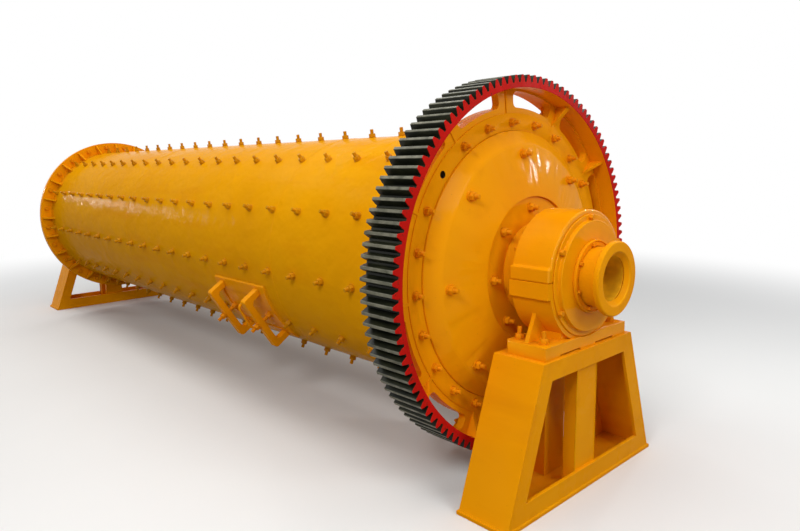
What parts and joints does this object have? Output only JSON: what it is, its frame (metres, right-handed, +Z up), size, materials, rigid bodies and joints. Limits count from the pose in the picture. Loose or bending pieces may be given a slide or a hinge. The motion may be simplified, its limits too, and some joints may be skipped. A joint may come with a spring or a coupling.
{
  "type": "ball mill",
  "caption": "Horizontal ball mill: long bolted drum with a split girth gear and hollow trunnions, turning in two bearings on welded stands.",
  "frame": {"origin": "on the floor under the middle of the whole mill", "axes": "+X along the mill towards the girth gear and discharge end, +Y towards the rear side, +Z up"},
  "size_m": [6.03, 1.68, 1.7729],
  "materials": {
    "yellow_paint": "gloss",
    "gear_red": "satin",
    "bearing_steel": "satin"
  },
  "bodies": {
    "base": {"discharge_stand_base": "yellow_paint", "discharge_stand_side_front": "yellow_paint", "discharge_stand_side_rear": "yellow_paint", "discharge_stand_outer_frame": "yellow_paint", "discharge_stand_inner_frame": "yellow_paint", "discharge_stand_top": "yellow_paint", "discharge_bearing_base": "yellow_paint", "discharge_bearing_cap": "yellow_paint", "discharge_bearing_ring": "bearing_steel", "discharge_bearing_cover": "yellow_paint", "discharge_bearing_gland": "yellow_paint", "discharge_back_cover": "yellow_paint", "feed_stand_base": "yellow_paint", "feed_stand_side_front": "yellow_paint", "feed_stand_side_rear": "yellow_paint", "feed_stand_outer_frame": "yellow_paint", "feed_stand_inner_frame": "yellow_paint", "feed_stand_top": "yellow_paint", "feed_bearing_base": "yellow_paint", "feed_bearing_cap": "yellow_paint", "feed_bearing_ring": "bearing_steel", "feed_bearing_cover": "yellow_paint", "feed_bearing_gland": "yellow_paint", "feed_back_cover": "yellow_paint"},
    "drum": {"shell_feed": "yellow_paint", "shell_middle": "yellow_paint", "shell_discharge": "yellow_paint", "flange_feed": "yellow_paint", "flange_discharge": "yellow_paint", "head_feed": "yellow_paint", "head_discharge": "yellow_paint", "feed_trunnion_flange": "yellow_paint", "feed_trunnion_tube": "yellow_paint", "feed_trunnion_ring": "yellow_paint", "discharge_trunnion_flange": "yellow_paint", "discharge_trunnion_tube": "yellow_paint", "discharge_trunnion_ring": "yellow_paint", "gear_rim_rear": "gear_red", "gear_rim_front": "gear_red", "gear_web_rear": "yellow_paint", "gear_web_front": "yellow_paint", "manhole_frame": "yellow_paint", "manhole_cover": "yellow_paint", "manhole_clamp_feed_side": "yellow_paint", "manhole_clamp_gear_side": "yellow_paint"}
  },
  "joints": [
    {"name": "drum_spin", "type": "hinge", "parent": "base", "child": "drum", "pos_m": [0.029, 0, 0.933], "axis": [1, 0, 0], "continuous": true}
  ]
}
